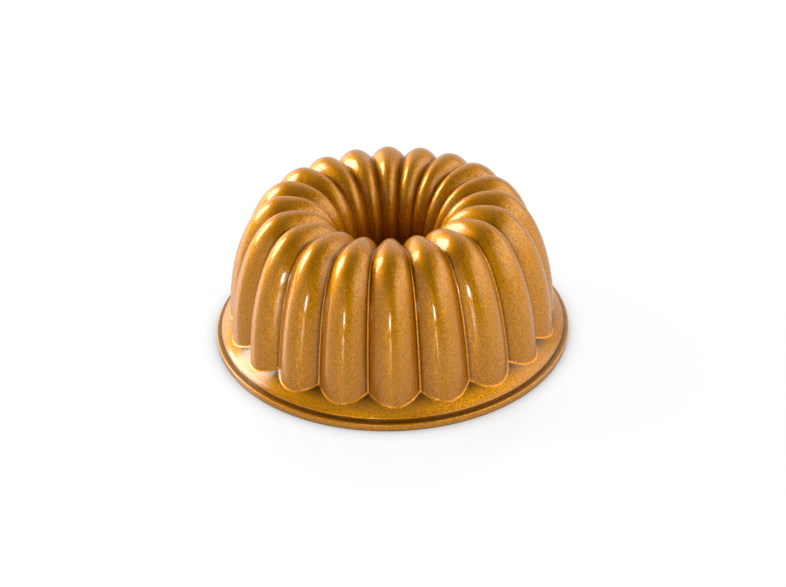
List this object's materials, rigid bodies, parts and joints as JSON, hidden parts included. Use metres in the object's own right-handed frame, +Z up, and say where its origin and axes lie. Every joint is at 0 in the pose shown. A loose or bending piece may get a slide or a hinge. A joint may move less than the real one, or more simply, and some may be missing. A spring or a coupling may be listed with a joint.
{
  "type": "fluted tube pan",
  "caption": "Cast aluminium ring-shaped cake pan with rounded flutes, a stepped rim and an open centre tube, gold coated, standing upside down on its rim.",
  "frame": {"origin": "on the pan's axis, in the plane of the rim's flat underside that it stands on", "axes": "+Z up along the pan's axis, from the rim towards the crown of the flutes; -Y through the crest of one flute"},
  "size_m": [0.2622, 0.2622, 0.1079],
  "materials": {
    "cast_aluminium": "satin",
    "gold_exterior": "satin",
    "gold_nonstick": "satin"
  },
  "bodies": {
    "root": {"cast_body": "cast_aluminium", "exterior_gold_coat": "gold_exterior", "interior_nonstick_coat": "gold_nonstick"}
  },
  "joints": []
}
